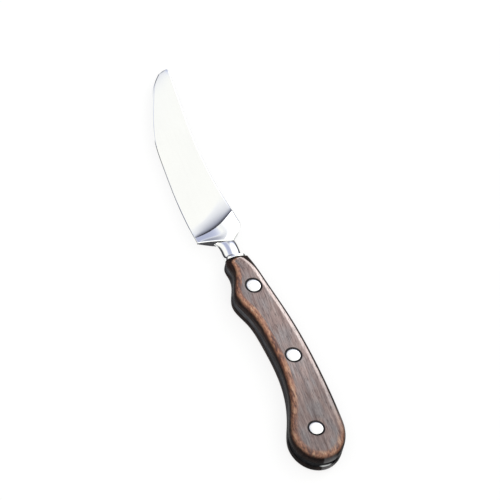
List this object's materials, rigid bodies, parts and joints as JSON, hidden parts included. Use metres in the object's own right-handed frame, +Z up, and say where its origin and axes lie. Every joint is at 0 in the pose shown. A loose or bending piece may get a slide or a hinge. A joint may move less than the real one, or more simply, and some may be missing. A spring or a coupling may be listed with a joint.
{
  "type": "steak knife",
  "caption": "Full-tang steak knife with an upswept polished blade, a bolster on an oval neck and riveted wooden handle scales, lying on its side.",
  "frame": {"origin": "under the middle of the knife's box, on the surface that the knife lies on", "axes": "+X along the knife towards the tip, +Y towards the cutting edge, +Z up from the surface it lies on"},
  "size_m": [0.2193, 0.034, 0.0124],
  "materials": {
    "blade_steel": "mirror polished stainless steel",
    "scale_wood": "lacquered brown hardwood",
    "rivet_steel": "ground flush and polished"
  },
  "bodies": {
    "root": {"forged_blade": "blade_steel", "handle_scale_upper": "scale_wood", "handle_scale_lower": "scale_wood", "rivet_post_front": "rivet_steel", "rivet_post_middle": "rivet_steel", "rivet_post_butt": "rivet_steel", "rivet_tube_front": "rivet_steel", "rivet_tube_middle": "rivet_steel", "rivet_tube_butt": "rivet_steel"}
  },
  "joints": []
}
